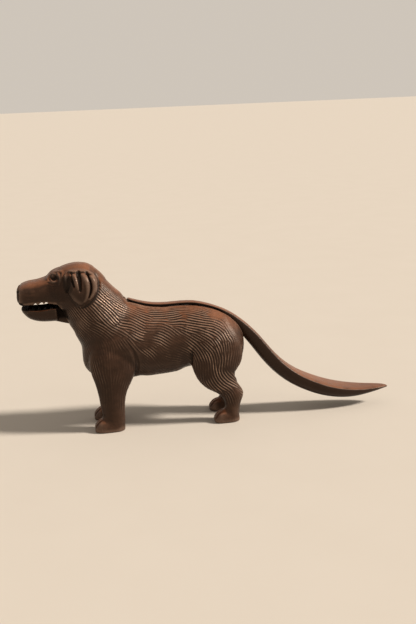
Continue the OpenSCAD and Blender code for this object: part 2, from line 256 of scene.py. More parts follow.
lever_points, lever_triangles = triangles_of("jaw_lever")
lever = Block(lever_points.min(axis=0) - MARGIN, lever_points.max(axis=0) + MARGIN)
lever.fill(lever_points, lever_triangles)
print("grid points: body", body.values.size, "lever", lever.values.size)

# %% [markdown]
# ## Fillets
# A sand mould leaves every edge a little round, and the pattern has fillets where the legs, the
# neck and the ears grow out of the trunk.  The block is blurred for that, and a wider blur only
# adds iron in the creases.  The mouth, its teeth and the lever's room stay as crisp as the CAD.

# %% Fillets all over the dog
EDGE_BLUR = 0.8
CREASE_BLUR = 2.0
CRISP_NEAR = 1.2
CRISP_FAR = 3.5
MOUTH_FRONT, MOUTH_BACK = -104.0, -99.0
MOUTH_TOP, MOUTH_OVER = 97.5, 100.0


def reaching(block, other):
    """Another block's distances at a block's grid points."""
    result = np.full(block.shape, BAND, np.float32)
    shift = block.first - other.first
    low = np.maximum(-shift, 0)
    high = np.minimum(np.array(other.shape) - shift, block.shape)
    here = tuple(slice(int(a), int(b)) for a, b in zip(low, high))
    there = tuple(slice(int(a), int(b)) for a, b in zip(low + shift, high + shift))
    result[here] = other.values[there]
    return result


packed = body.values.copy()
x, y, z = body.axes()
in_mouth = (1 - step_up(x, MOUTH_FRONT, MOUTH_BACK)) * (1 - step_up(z, MOUTH_TOP, MOUTH_OVER))
by_lever = 1 - step_up(reaching(body, lever), CRISP_NEAR, CRISP_FAR)
crisp = np.maximum(by_lever, in_mouth)
rounded = blurred(body.values, EDGE_BLUR)
filleted = np.minimum(rounded, blurred(body.values, CREASE_BLUR))
body.values = (crisp * body.values + (1 - crisp) * filleted).astype(np.float32)
print("grid points with iron added in creases:", int(((body.values < 0) & (packed > 0)).sum()))

# %% [markdown]
# The neck runs into the shoulders without any edge, so that place is blurred more than the rest.
# The dog is hollow, and such a blur would wear its wall through.  So the hollow is filled for the
# blur, along Y, and only the outer skin takes the blurred distances.

# %% The neck's way into the shoulders
NECK_ROOT = (-57.0, 84.0)
NECK_ROOT_SIZE = 13.0
# The blur fades between these shares of its size
NECK_ROOT_FADE = (0.5, 1.4)
NECK_ROOT_AREA = 24
NECK_ROOT_BLUR = 3.0
SKIN_TOP, SKIN_LOW = -1.2, -2.2
FAR_SIDE = body.first[1] * VOXEL

part = body.near((NECK_ROOT[0] - NECK_ROOT_AREA, FAR_SIDE, NECK_ROOT[1] - NECK_ROOT_AREA),
                 (NECK_ROOT[0] + NECK_ROOT_AREA, PAST_PLANE, NECK_ROOT[1] + NECK_ROOT_AREA))
x, y, z = body.axes(part)
away = off_axis(x, z, NECK_ROOT) / NECK_ROOT_SIZE
solid = np.minimum.accumulate(body.values[part], axis=1)
share = (1 - step_up(away + 0 * y, *NECK_ROOT_FADE)) * (1 - crisp[part])
softer = np.where(solid < SKIN_LOW, body.values[part], blurred(solid, NECK_ROOT_BLUR))
share = share * step_up(solid, SKIN_LOW, SKIN_TOP)
moved = np.abs(share * (softer - body.values[part]))[np.abs(body.values[part]) < VOXEL].max()
body.values[part] = (1 - share) * body.values[part] + share * softer
print("the skin at the neck's root moves by up to", round(float(moved), 2), "mm")

# %% [markdown]
# The real dog's nape runs into the shoulders in a hollow, and its belly hangs a little.  Both are
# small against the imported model, so the nape is planed down to a drawn line, and the grid under
# the belly is pulled down, with the wall's thickness kept.  The lever's room under the nape gets
# its packed width back, so that the lever still swings freely.

# %% The nape, the belly and the lever's room
# The nape's line, as [x, z]
NAPE_LINE = [
    (-82.0, 122.0), (-79.7, 116.8), (-77.7, 114.6), (-75.7, 112.2), (-73.7, 109.9), (-71.7, 107.5),
    (-69.7, 105.2), (-67.7, 103.1), (-65.6, 101.4), (-62.0, 100.5), (-58.0, 102.0),
]
NAPE_LOW, NAPE_HIGH = 96.0, 124.0
NAPE_TILT = 0.7
NAPE_SOFT = 1.6
BELLY_DROP = 1.5
BELLY_BACK, BELLY_FRONT = (-26.0, -18.0), (-53.0, -45.0)
BELLY_FLOOR, BELLY_LOW, BELLY_HIGH = 34.0, 46.0, 58.0
ROOM_LOW, ROOM_HIGH = (-82.0, -4.6, 82.0), (-48.0, 4.6, 100.0)

line = np.array(NAPE_LINE)
part = body.near((line[0, 0], FAR_SIDE, NAPE_LOW), (line[-1, 0], PAST_PLANE, NAPE_HIGH))
x, y, z = body.axes(part)
over_nape = (np.interp(x, *line.T) - z) * NAPE_TILT + 0 * y
body.values[part] = cut(body.values[part], over_nape, NAPE_SOFT)

part = body.near((BELLY_FRONT[0], FAR_SIDE, BELLY_FLOOR), (BELLY_BACK[1], PAST_PLANE, BELLY_HIGH))
x, y, z = body.axes(part)
drop = BELLY_DROP * step_up(x, *BELLY_FRONT) * (1 - step_up(x, *BELLY_BACK))
place = np.arange(z.size) + drop * (1 - step_up(z, BELLY_LOW, BELLY_HIGH)) / VOXEL + 0 * y
below = np.clip(np.floor(place).astype(int), 0, z.size - 2)
share = np.clip(place - below, 0, 1)
pulled = [np.take_along_axis(body.values[part], below + n, 2) for n in (0, 1)]
body.values[part] = (1 - share) * pulled[0] + share * pulled[1]

part = body.near(ROOM_LOW, ROOM_HIGH)
body.values[part] = np.maximum(body.values[part], packed[part])
print("the lever's room is kept from", ROOM_LOW, "to", ROOM_HIGH)

# %% [markdown]
# ## Strokes of clay
# The pattern maker drew the folds of the ears, the lids and the brow with a modelling tool: a
# pressed line here, a laid-on roll there.  The same strokes work on the grid.  Each is a smooth
# line of points on the dog's flank with a radius at each, and it is either joined to the block or
# cut out of it, with a soft edge.

# %% Smooth lines and rolls
STROKE_STEPS = 4
ROLL_MARGIN = 2


def through(points, steps=STROKE_STEPS):
    """A smooth line that passes through every row of numbers, in cubic pieces."""
    rows = np.array(points, float)
    rows = np.vstack([2 * rows[0] - rows[1], rows, 2 * rows[-1] - rows[-2]])
    line = []
    for a, b, c, d in zip(rows, rows[1:], rows[2:], rows[3:]):
        for t in np.arange(steps) / steps:
            bend = 2 * a - 5 * b + 4 * c - d
            turn = 3 * b - a - 3 * c + d
            line.append(b + 0.5 * ((c - a) * t + bend * t**2 + turn * t**3))
    return np.array(line + [rows[-2]])


def roll(block, line):
    """The part of a block near a tapered roll of clay, and the distances to the roll there."""
    radius = line[:, 3].max() + ROLL_MARGIN
    part = block.near(line[:, :3].min(axis=0) - radius, line[:, :3].max(axis=0) + radius)
    grid = block.axes(part)
    nearest = np.full(np.broadcast(*grid).shape, BAND, np.float32)
    for a, b in zip(line, line[1:]):
        along = b - a
        offset = [grid[n] - a[n] for n in range(3)]
        share = sum(offset[n] * along[n] for n in range(3)) / max(along[:3] @ along[:3], 1e-9)
        share = np.clip(share, 0, 1)
        gap = np.sqrt(sum((offset[n] - share * along[n]) ** 2 for n in range(3)))
        nearest = np.minimum(nearest, gap - a[3] - share * along[3])
    return part, nearest


def add_roll(block, line, soft):
    """Joins a roll to a block, with a fillet as wide as soft."""
    part, nearest = roll(block, line)
    block.values[part] = joined(block.values[part], nearest, soft)


def cut_roll(block, line, soft):
    """Cuts a roll out of a block, with edges rounded over soft."""
    part, nearest = roll(block, line)
    block.values[part] = cut(block.values[part], nearest, soft)


# %% [markdown]
# A stroke's spots are found by a straight line from outside that meets the surface, and then
# lifted or sunk along the surface's slope, so that the same few numbers fit any bulge.

# %% Laying and pressing strokes
def hit(block, start, end):
    """Where a straight line from outside first meets the surface."""
    start, end = np.array(start, float), np.array(end, float)
    count = int(np.linalg.norm(end - start) / VOXEL) * 2
    places = start + (end - start) * np.linspace(0, 1, count)[:, None]
    inside = np.nonzero(block.sample(places) < 0)[0]
    place = places[inside[:1] if len(inside) else -1].reshape(1, 3)
    return (place - block.slope(place) * block.sample(place)[:, None])[0]


def lifted(block, spots, height):
    """The line of a roll whose top stands over the surface by height, less where it is thin."""
    rows = np.array(spots, float)
    share = rows[:, 3] / rows[:, 3].max()
    outward = block.slope(rows[:, :3], 1.0)
    rows[:, :3] += outward * (height * share - np.sign(height) * rows[:, 3])[:, None]
    return through(rows)


def laid(block, spots, rise, soft=1.0):
    """Lays a roll on the surface.  spots are [x, y, z, radius]."""
    add_roll(block, lifted(block, spots, rise), soft)


def pressed(block, spots, depth, soft=0.8):
    """Presses a line into the surface.  spots are [x, y, z, radius]."""
    cut_roll(block, lifted(block, spots, -depth), soft)


def on_flank(block, points):
    """Spots on the left flank for rows of [x, z, radius]."""
    side = (block.first[1] + 1) * VOXEL
    return [(*hit(block, (px, side, pz), (px, 0, pz)), r) for px, pz, r in points]


def on_front(block, points, back):
    """Spots on the front for rows of [y, z, radius], seen against a place back."""
    front = (block.first[0] + 1) * VOXEL
    return [(*hit(block, (front, py, pz), (back, py, pz)), r) for py, pz, r in points]


def around(block, middle, reach, points):
    """Spots around a place [x, y, z] for rows of [angle in the x-z plane, radius]."""
    middle = np.array(middle, float)
    spots = []
    for turn, r in points:
        away = reach * np.array((math.cos(math.radians(turn)), 0, math.sin(math.radians(turn))))
        spots.append((*hit(block, middle + away, middle), r))
    return spots


# %% [markdown]
# ## The ears
# The ears hang in long folds from a sharp edge along the flat skull.  Blender's displacement
# could press the folds in from a picture, but this lesson uses none, and strokes keep the sharp
# side of each fold.

# %% Ears
# A roll under the skin of the nape, as [x, y, z, radius]
NAPE = [
    (-87.0, 0, 116.4, 4.6), (-82.6, 0, 113.2, 5.0), (-80.1, 0, 110.9, 5.0), (-78.4, 0, 109.0, 4.6),
]
NAPE_JOIN = 3.0
# Rows for the flank are [x, z, radius]
SKULL_EDGE = [
    (-104.0, 117.0, 0.8), (-100.1, 117.9, 1.5), (-95.7, 118.0, 1.5), (-91.3, 118.0, 1.5),
    (-87.0, 117.7, 1.5), (-83.4, 116.2, 1.0),
]
EAR_VALLEYS = [
    [(-99.2, 118.6, 1.6), (-99.4, 116.8, 2.2), (-99.3, 114.5, 2.6), (-99.6, 110.5, 2.4),
     (-100.6, 105.0, 1.2)],
    [(-97.0, 118.2, 0.6), (-96.9, 116.4, 0.8), (-96.2, 113.5, 0.9), (-95.2, 109.0, 0.6)],
    [(-91.9, 119.0, 1.1), (-91.8, 117.2, 1.5), (-91.5, 115.0, 1.5), (-91.2, 111.5, 1.3),
     (-91.2, 106.0, 0.8)],
    [(-86.2, 118.2, 0.7), (-85.6, 116.4, 1.0), (-84.0, 112.5, 1.1), (-83.5, 106.5, 1.1),
     (-85.4, 100.8, 0.7)],
]
EAR_RIDGES = [
    [(-95.3, 116.8, 0.9), (-94.3, 114.4, 1.2), (-93.4, 111.0, 1.0), (-92.6, 107.4, 0.6)],
    [(-88.7, 116.8, 1.4), (-87.1, 113.4, 2.3), (-86.1, 108.5, 2.0), (-86.8, 102.5, 1.3),
     (-88.6, 98.5, 0.7)],
    [(-83.2, 115.2, 1.0), (-81.5, 112.2, 1.8), (-81.1, 108.2, 1.7), (-82.2, 104.2, 1.2),
     (-85.0, 99.8, 0.7)],
]
EAR_EDGE = [
    (-79.8, 114.2, 0.7), (-78.0, 111.0, 0.9), (-78.2, 105.0, 0.9), (-80.2, 100.6, 0.9),
    (-84.4, 96.2, 0.9), (-88.6, 93.4, 0.9), (-92.6, 92.8, 0.6), (-96.0, 95.4, 0.35),
    (-99.6, 100.6, 0.2),
]
EAR_HEM = [
    (-79.8, 112.4, 0.5), (-79.4, 108.6, 0.6), (-79.9, 104.8, 0.6), (-82.0, 101.0, 0.6),
    (-85.4, 97.6, 0.6), (-89.0, 95.2, 0.5),
]

add_roll(body, through(NAPE), NAPE_JOIN)
pressed(body, on_flank(body, SKULL_EDGE), depth=0.9, soft=0.3)
for valley in EAR_VALLEYS:
    pressed(body, on_flank(body, valley), depth=1.8)
for ridge in EAR_RIDGES:
    laid(body, on_flank(body, ridge), rise=0.8, soft=0.8)
pressed(body, on_flank(body, EAR_EDGE), depth=0.55, soft=0.6)
laid(body, on_flank(body, EAR_HEM), rise=0.5, soft=0.2)
print("strokes on an ear:", 3 + len(EAR_VALLEYS) + len(EAR_RIDGES))

# %% [markdown]
# ## The eye and the brow
# A round ball sits deep in its socket, between two lids and under a heavy brow.  Two creases run
# down behind it, and the skin below lies in three fine folds.

# %% Eyes
BROW = [
    (-113.8, 113.2, 0.7), (-112.0, 115.4, 1.2), (-109.6, 117.0, 1.4), (-106.7, 117.8, 1.3),
    (-104.0, 118.2, 1.0),
]
SOCKET = [(-111.4, 113.8, 1.8), (-109.2, 114.5, 2.9), (-106.9, 114.1, 2.0)]
SOCKET_DEPTH = 2.0
EYE = (-109.0, 114.4)
EYE_SEEN_FROM = -40
EYE_SIZE = 2.0
EYE_RISE = 1.1
EYE_JOIN = 0.15
LIDS = [
    [(-112.0, 113.7, 0.4), (-110.6, 116.1, 0.75), (-108.0, 116.5, 0.8), (-106.0, 114.2, 0.45)],
    [(-111.8, 113.3, 0.4), (-109.4, 111.7, 0.65), (-106.4, 113.2, 0.4)],
]
EYE_FOLDS = [
    [(-113.4, 111.0, 0.4), (-110.4, 110.2, 0.55), (-107.2, 111.0, 0.4)],
    [(-113.4, 109.2, 0.4), (-110.4, 108.4, 0.55), (-107.0, 109.2, 0.4)],
    [(-113.0, 107.4, 0.4), (-110.4, 106.6, 0.5), (-107.2, 107.4, 0.4)],
]
EYE_CREASES = [
    [(-106.2, 117.0, 0.7), (-104.5, 113.6, 1.0), (-105.2, 110.0, 0.6)],
    [(-102.8, 117.6, 0.6), (-103.2, 115.2, 0.9), (-103.8, 112.2, 0.6)],
]

laid(body, on_flank(body, BROW), rise=0.7, soft=1.4)
pressed(body, on_flank(body, SOCKET), depth=SOCKET_DEPTH, soft=0.8)
for crease in EYE_CREASES:
    laid(body, on_flank(body, crease), rise=0.7, soft=0.6)
eye = np.append(hit(body, (EYE[0], EYE_SEEN_FROM, EYE[1]), (EYE[0], 0, EYE[1])), EYE_SIZE)
eye[1] += EYE_SIZE - EYE_RISE
add_roll(body, np.array([eye, eye]), EYE_JOIN)
for lid in LIDS:
    laid(body, on_flank(body, lid), rise=0.7, soft=0.25)
for fold in EYE_FOLDS:
    pressed(body, on_flank(body, fold), depth=0.35, soft=0.3)
print("the eye sits at", eye[:3].round(1))

# %% [markdown]
# ## The nose and the lips
# The pad of the nose is set off by a groove.  Two nostrils curl round to its sides, and a groove
# runs down its middle to the lip.  The edge of the upper lip is a soft roll over the nut mouth.

# %% Nose and lips
NOSE_BACK = -118.0
# Rows for the front are [y, z, radius]
PAD_EDGE = [
    (0.0, 108.9, 0.5), (-4.2, 108.5, 0.6), (-7.6, 106.7, 0.7), (-9.3, 103.2, 0.7),
    (-8.6, 99.4, 0.7), (-5.2, 96.8, 0.6), (0.0, 96.0, 0.5),
]
NOSTRIL = [(-2.4, 102.6, 0.9), (-4.4, 103.2, 1.4), (-6.4, 104.4, 1.2), (-8.2, 105.6, 0.6)]
LIP_GROOVE = [(0.0, 101.6, 0.4), (0.0, 98.4, 0.6), (0.0, 95.0, 0.6)]
# Rows for the flank are [x, z, radius] again
WHISKER_LINES = [
    [(-129.5, 104.4, 0.2), (-126.0, 103.8, 0.4), (-122.4, 104.2, 0.2)],
    [(-129.8, 101.6, 0.2), (-126.0, 100.9, 0.4), (-122.2, 101.4, 0.2)],
]
LIP = [
    (-131.4, 96.5, 0.5), (-128.0, 96.9, 0.9), (-123.0, 97.1, 1.0), (-118.0, 97.1, 1.0),
    (-113.0, 97.1, 1.0), (-109.0, 96.6, 0.8),
]
# Gaps between the upper teeth, where light comes through, as [x, z, radius]
TOOTH_GAPS = [(-123.2, 96.5, 0.9), (-118.9, 96.5, 1.3), (-115.6, 96.6, 1.1)]
# Each gap slants down from the lips to the middle of the mouth
GAP_START, GAP_END = (-15.0, 0.7), (0.0, -2.8)
GAP_EDGE = 0.4
LIP_ABOVE = 1.6
LIP_JOIN = 0.8

pressed(body, on_front(body, PAD_EDGE, NOSE_BACK), depth=0.5, soft=0.4)
pressed(body, on_front(body, NOSTRIL, NOSE_BACK), depth=1.6, soft=0.5)
pressed(body, on_front(body, LIP_GROOVE, NOSE_BACK), depth=0.5, soft=0.4)
for whisker in WHISKER_LINES:
    pressed(body, on_flank(body, whisker), depth=0.2, soft=0.3)
lip = np.array(on_flank(body, [(px, pz + LIP_ABOVE, r) for px, pz, r in LIP]))
lip[:, 1] += lip[:, 3]
lip[:, 2] = [pz for px, pz, r in LIP]
add_roll(body, through(lip), LIP_JOIN)
for px, pz, r in TOOTH_GAPS:
    ends = [(px, side, pz + fall, r) for side, fall in (GAP_START, GAP_END)]
    cut_roll(body, np.array(ends), GAP_EDGE)
print("the lip's roll is", round(2 * lip[:, 3].max(), 1), "mm thick")

# %% [markdown]
# ## The legs and the paws
# The upper foreleg stands out from the trunk behind the elbow, and the thigh from the belly.
# Each paw has four toes: three grooves run from the ankle over the paw to the ground.

# %% Creases of the legs, and toes
LEG_CREASES = [
    [(-60.0, 65.0, 0.4), (-56.6, 59.0, 0.9), (-54.8, 52.5, 1.2), (-54.6, 46.5, 1.3),
     (-56.0, 40.8, 1.1)],
    [(-13.6, 60.0, 0.4), (-15.2, 53.0, 0.9), (-15.6, 46.0, 1.1)],
]
PAWS = {"fore": (-78.5, 3.5), "hind": (9.0, 3.5)}
PAW_MIDDLE = -14.0
TOE_GROOVES = (-3.4, 0.0, 3.4)
TOE_ARC = [(118, 0.3), (135, 0.6), (152, 0.8), (168, 0.8), (180, 0.7)]
PAW_REACH = 14.0

for crease in LEG_CREASES:
    pressed(body, on_flank(body, crease), depth=0.9, soft=1.2)
for paw, (px, pz) in PAWS.items():
    for groove in TOE_GROOVES:
        middle = (px, PAW_MIDDLE + groove, pz)
        pressed(body, around(body, middle, PAW_REACH, TOE_ARC), depth=0.75, soft=0.8)
    print("toes on the", paw, "paw:", len(TOE_GROOVES) + 1)

# %% [markdown]
# ## The lever
# The lever was cast in one piece, from the flat tail to the lower jaw.  It is blurred a little,
# for the soft edges of a casting, but not where the hub turns on its pin.  The front end of the
# strap is rough: the casting was nicked there with a file, and the arm is thick behind the jaw.

# %% The lever's edges, nicks and arm
LEVER_BLUR = 0.6
HUB_KEPT, HUB_FREE = 8.0, 11.0
PIN_SPACE = 0.25
# The nicks in the strap's side, as [x, radius]
NICKS = [(-56.6, 0.5), (-54.2, 0.65), (-51.9, 0.5), (-49.4, 0.45), (-46.8, 0.35)]
# From below on the left, a line from one of these to the other meets the strap, as [y, z]
STRAP_FROM, STRAP_TO = (-20, 70), (-2.6, 100)
# How far above there a nick's middle lies, and how far its ends lie above and below the middle
NICK_UP, NICK_TOP, NICK_LOW = 0.9, (0.3, 0, 1.1), (0, 0, 1.6)
NICK_EDGE = 0.3
ARM_ROOT = [(-107.4, -1.9, 90.6, 2.0), (-107.4, 1.9, 90.6, 2.0)]
# The rounded top of the jaw's rim, as [x, z, radius]
RIM = [
    (-128.5, 90.4, 0.8), (-124.0, 90.6, 1.1), (-119.0, 90.6, 1.1), (-114.5, 91.0, 1.1),
    (-111.5, 91.3, 0.8),
]
RIM_SIDE = 9.7
LEVER_JOIN = 0.8

pin_low, pin_high = (np.array(corner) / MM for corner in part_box("pivot_pin"))
pivot = (pin_low + pin_high) / 2
x, y, z = lever.axes()
from_pivot = off_axis(x, z, pivot[::2]) + 0 * y
share = step_up(from_pivot, HUB_KEPT, HUB_FREE)
lever.values = (share * blurred(lever.values, LEVER_BLUR) + (1 - share) * lever.values)
pin_room = from_pivot - (pin_high[0] - pin_low[0]) / 2 - PIN_SPACE
lever.values = np.maximum(lever.values, -pin_room).astype(np.float32)
for nick_x, size in NICKS:
    height = hit(lever, (nick_x, *STRAP_FROM), (nick_x, *STRAP_TO))[2] + NICK_UP
    spot = hit(lever, (nick_x, STRAP_FROM[0], height), (nick_x, 0, height))
    cut_roll(lever, np.array([(*spot + NICK_TOP, size), (*spot - NICK_LOW, size)]), NICK_EDGE)
rims = [through([(px, side, pz, r) for px, pz, r in RIM]) for side in (-RIM_SIDE, RIM_SIDE)]
for line in (np.array(ARM_ROOT), *rims):
    add_roll(lever, line, LEVER_JOIN)
print("the pin is", round(float(pin_high[0] - pin_low[0]), 2), "mm thick")

# %% [markdown]
# ## The coat of hair
# The dog's hair is carved as even, flowing lines about two millimetres apart, which split and
# join like the lines of a fingerprint.  Noise stretched along the hair gives lines of uneven
# width, and hand-drawn curves would be hundreds.  A fingerprint grows from any noise when it is
# filtered again and again with stripes that run the local way, so the coat is grown like that,
# from a hundred short strokes that say which way the hair runs and how deep it is carved.

# %% Which way the hair runs
COAT_LOW = (-146.0, -10.0)
COAT_STEP = 0.3
COAT_SHAPE = (640, 512)
HAIR_GAP = 1.8
# Each stroke is [x, z, angle of the hair against the back, how deep it is carved]
HAIR = [
    # behind the ear and down the neck
    (-78, 107, -63, 0.9), (-74, 102, -58, 1), (-80, 100, -62, 1), (-83, 97, -42, 1),
    (-76, 93, -42, 1), (-70, 97, -53, 1), (-65, 97, -50, 0.9), (-87, 92, -78, 1),
    (-84, 86, -60, 1), (-80, 82, -42, 0.9), (-88, 85, -68, 0.8), (-75, 86, -52, 1),
    (-70, 86, -62, 1), (-66, 91, -42, 1), (-60, 92, -26, 1), (-62, 86, -14, 1),
    (-56, 85, -10, 1), (-67, 83, -60, 1), (-62, 80, -8, 0.9), (-57, 80, -40, 1),
    (-65, 75, -28, 0.8), (-55, 75, -44, 0.9), (-50, 78, -48, 1), (-51, 83, -34, 1),
    (-46, 84, -30, 1), (-45, 88, -10, 0.8), (-78, 76, -44, 0.7), (-83, 80, -36, 0.7),
    # the crest of the neck, worn smooth
    (-76, 113, -50, 0.1), (-70, 108, -50, 0.1), (-64, 103, -45, 0.1), (-57, 97, -35, 0.15),
    # the back and the flank
    (-40, 90, -2, 0.7), (-30, 90, 2, 0.6), (-20, 92, 0, 0.6), (-10, 90, -4, 0.5),
    (-35, 84, 2, 0.9), (-28, 83, -2, 0.9), (-20, 83, 3, 0.9), (-12, 82, -4, 0.9),
    (-40, 76, -4, 0.9), (-34, 72, -22, 1), (-29, 71, -34, 1), (-26, 78, 4, 1),
    (-20, 75, -3, 1), (-14, 73, 2, 1), (-44, 70, -2, 0.9), (-38, 66, -14, 0.9),
    (-10, 78, -6, 1), (-4, 77, -9, 1),
    # the belly, in short slanting strokes
    (-45, 60, -42, 0.7), (-38, 60, -52, 0.8), (-32, 64, -30, 0.6), (-25, 62, -20, 0.4),
    (-40, 52, -50, 0.5), (-28, 52, -30, 0.3), (-46, 48, -40, 0.3), (-30, 44, -15, 0.3),
    # the haunch, in arcs about the knee
    (1, 74, -22, 1), (5, 72, -46, 1), (10, 66, -72, 0.9), (12, 58, -88, 0.8), (12, 50, -93, 0.6),
    (-5, 69, -24, 1), (-2, 66, -46, 1), (1, 60, -68, 1), (1, 54, -84, 0.9), (-10, 65, -26, 0.8),
    (-7, 60, -56, 0.8), (-8, 54, -76, 0.6), (-8, 45, -88, 0.4), (-5, 39, -80, 0.4),
    (5, 55, -86, 0.9), (5, 46, -96, 0.8), (5, 38, -74, 0.9), (9, 35, -50, 1), (12, 32, -32, 1),
    (16, 28, -24, 1), (20, 25, -32, 0.8), (10, 28, -38, 0.9), (14, 22, -62, 0.7),
    (16, 17, -82, 0.3), (16, 10, -90, 0.1), (8, 82, -30, 0.15), (15, 78, -50, 0.1),
    (15, 70, -66, 0.3), (18, 60, -95, 0.35), (17, 50, -104, 0.3), (22, 66, -90, 0.1),
    # the chest and the forelegs, nearly smooth
    (-88, 74, -62, 0.5), (-84, 66, -84, 0.35), (-76, 62, -86, 0.35), (-66, 66, -60, 0.45),
    (-60, 64, -52, 0.4), (-58, 52, -82, 0.3), (-66, 52, -84, 0.3), (-76, 46, -88, 0.3),
    (-68, 36, -90, 0.35), (-78, 30, -88, 0.3), (-72, 20, -92, 0.3), (-94, 60, -80, 0.3),
    (-74, 8, -90, 0.05), (4, 8, -80, 0.05), (4, 16, -80, 0.1),
    # the head is smooth, but for the cheek and the throat
    (-92, 88, -84, 0.5), (-97, 84, -70, 0.3), (-104, 99, 42, 0.35), (-112, 104, 20, 0),
    (-98, 98, -60, 0.15), (-126, 102, 10, 0), (-100, 118, -20, 0), (-88, 108, -80, 0),
    (-84, 120, -40, 0), (-92, 126, 0, 0),
]
REACH = 3.0

coat_x = COAT_LOW[0] + np.arange(COAT_SHAPE[0]) * COAT_STEP
coat_z = COAT_LOW[1] + np.arange(COAT_SHAPE[1]) * COAT_STEP
turn = np.zeros(COAT_SHAPE, complex)
depth = np.zeros(COAT_SHAPE)
total = np.zeros(COAT_SHAPE)
for px, pz, lean, carved in HAIR:
    apart = (coat_x[:, None] - px) ** 2 + (coat_z[None, :] - pz) ** 2
    weight = (apart + REACH**2) ** -2.0
    turn += weight * np.exp(2j * math.radians(lean))
    depth += weight * carved
    total += weight
depth /= total
angle = np.angle(turn) / 2
print("strokes for the hair:", len(HAIR), "- the chart has", depth.size, "points")

# %% [markdown]
# ## Growing the lines
# Each round of growing blurs the coat along the hair and lets only waves of the right width
# pass across it.  The filters for sixteen directions work in the frequency domain, and each
# place takes its value from the two directions next to its own.

# %% Growing the lines
DIRECTIONS = 16
ROUNDS = 12
ALONG_SPREAD = 0.055
ACROSS_SPREAD = 0.09
CONTRAST = 1.5
# How much the hair's way and its depth vary, and over how many mm
WAVER, WAVER_SIZE = 0.16, 9
WEAR, WEAR_SIZE = 0.2, 5


def smooth_noise(random, size, shape=COAT_SHAPE):
    """Noise whose lumps are about a given size in mm, with a spread of 1."""
    wave_x = np.fft.fftfreq(shape[0], COAT_STEP)[:, None]
    wave_z = np.fft.rfftfreq(shape[1], COAT_STEP)[None, :]
    keep = np.exp(-0.5 * (wave_x**2 + wave_z**2) * (math.pi * size) ** 2)
    noise = np.fft.irfft2(np.fft.rfft2(random.standard_normal(shape)) * keep, shape)
    return noise / noise.std()


def grown_coat(seed):
    """The carved lines of one flank: 1 on the ridges of the hair and -1 in the grooves."""
    random = np.random.default_rng(seed)
    wave_x = np.fft.fftfreq(COAT_SHAPE[0], COAT_STEP)[:, None]
    wave_z = np.fft.rfftfreq(COAT_SHAPE[1], COAT_STEP)[None, :]
    local = angle + WAVER * smooth_noise(random, WAVER_SIZE)
    place = np.mod(local / math.pi * DIRECTIONS, DIRECTIONS)
    coat = random.standard_normal(COAT_SHAPE)
    filters = []
    for n in range(DIRECTIONS):
        way = n * math.pi / DIRECTIONS
        along = wave_x * math.cos(way) + wave_z * math.sin(way)
        across = wave_z * math.cos(way) - wave_x * math.sin(way)
        off = (np.abs(across) - 1 / HAIR_GAP) / ACROSS_SPREAD
        filters.append(np.exp(-0.5 * (along / ALONG_SPREAD) ** 2 - 0.5 * off**2))
    shares = []
    for n in range(DIRECTIONS):
        apart = np.abs(np.mod(place - n + DIRECTIONS / 2, DIRECTIONS) - DIRECTIONS / 2)
        shares.append(np.clip(1 - apart, 0, 1))
    for _ in range(ROUNDS):
        waves = np.fft.rfft2(coat)
        coat = sum(share * np.fft.irfft2(waves * keep, COAT_SHAPE)
                   for share, keep in zip(shares, filters))
        coat = np.tanh(CONTRAST * coat / coat.std())
    return coat, 1 - WEAR + WEAR * smooth_noise(random, WEAR_SIZE)


# %% [markdown]
# ## From the chart to the surface
# The lines are grown on a flat chart of the flank.  Straight projection would smear them where
# the surface turns away, over the back and round the legs, so the chart is bent round: a place
# moves out on it by the length that its turned-away surface hides.

# %% Hair depth at points of the surface
LEG_ROUND, TRUNK_ROUND = 7.0, 19.0
LEG_LEVEL, TRUNK_LEVEL = 34.0, 58.0
# Keeps the sum below from dividing by nothing where the surface looks straight at the side
LEAST_TILT = 0.05


def chart_place(points, normals):
    """Where points of the surface lie on the coat's chart."""
    sideways = np.abs(normals[:, 1])
    tilt = np.arccos(np.clip(sideways, 0, 1))
    size = LEG_ROUND + (TRUNK_ROUND - LEG_ROUND) * step_up(points[:, 2], LEG_LEVEL, TRUNK_LEVEL)
    out = size * (tilt - np.sin(tilt)) / np.maximum(np.sin(tilt), LEAST_TILT)
    return points[:, 0] + out * normals[:, 0], points[:, 2] + out * normals[:, 2]


def read_chart(chart, px, pz):
    """A chart's value at any places, from the four nearest points."""
    u = np.clip((px - COAT_LOW[0]) / COAT_STEP, 0, COAT_SHAPE[0] - 1.001)
    v = np.clip((pz - COAT_LOW[1]) / COAT_STEP, 0, COAT_SHAPE[1] - 1.001)
    i, k = u.astype(int), v.astype(int)
    a, b = u - i, v - k
    return ((1 - a) * (1 - b) * chart[i, k] + a * (1 - b) * chart[i + 1, k]
            + (1 - a) * b * chart[i, k + 1] + a * b * chart[i + 1, k + 1])


# %% [markdown]
# ## From blocks to pieces
# OpenVDB lays one vertex in each grid cell that the surface passes through.  Two short steps along
# the slope bring every vertex onto the surface, and then the hair is pressed in, so that each
# line is real geometry.  How deep a vertex lies in the hair, in a hollow or on an edge is
# kept with the mesh, because the finish follows it.

# %% Making a piece from a block
SKIN_STEPS = 2
TRIANGLES = 190000


def skin(block):
    """The surface of a block as points in mm and faces."""
    grid = openvdb.FloatGrid(BAND)
    grid.copyFromArray(block.values, ijk=tuple(int(i) for i in block.first))
    grid.transform = openvdb.createLinearTransform(voxelSize=VOXEL)
    points, triangles, quads = grid.convertToPolygons(isovalue=0.0, adaptivity=0.0)
    points = points.astype(float)
    for _ in range(SKIN_STEPS):
        points -= block.slope(points) * block.sample(points)[:, None]
    return points, np.asarray(triangles, int), np.asarray(quads, int)


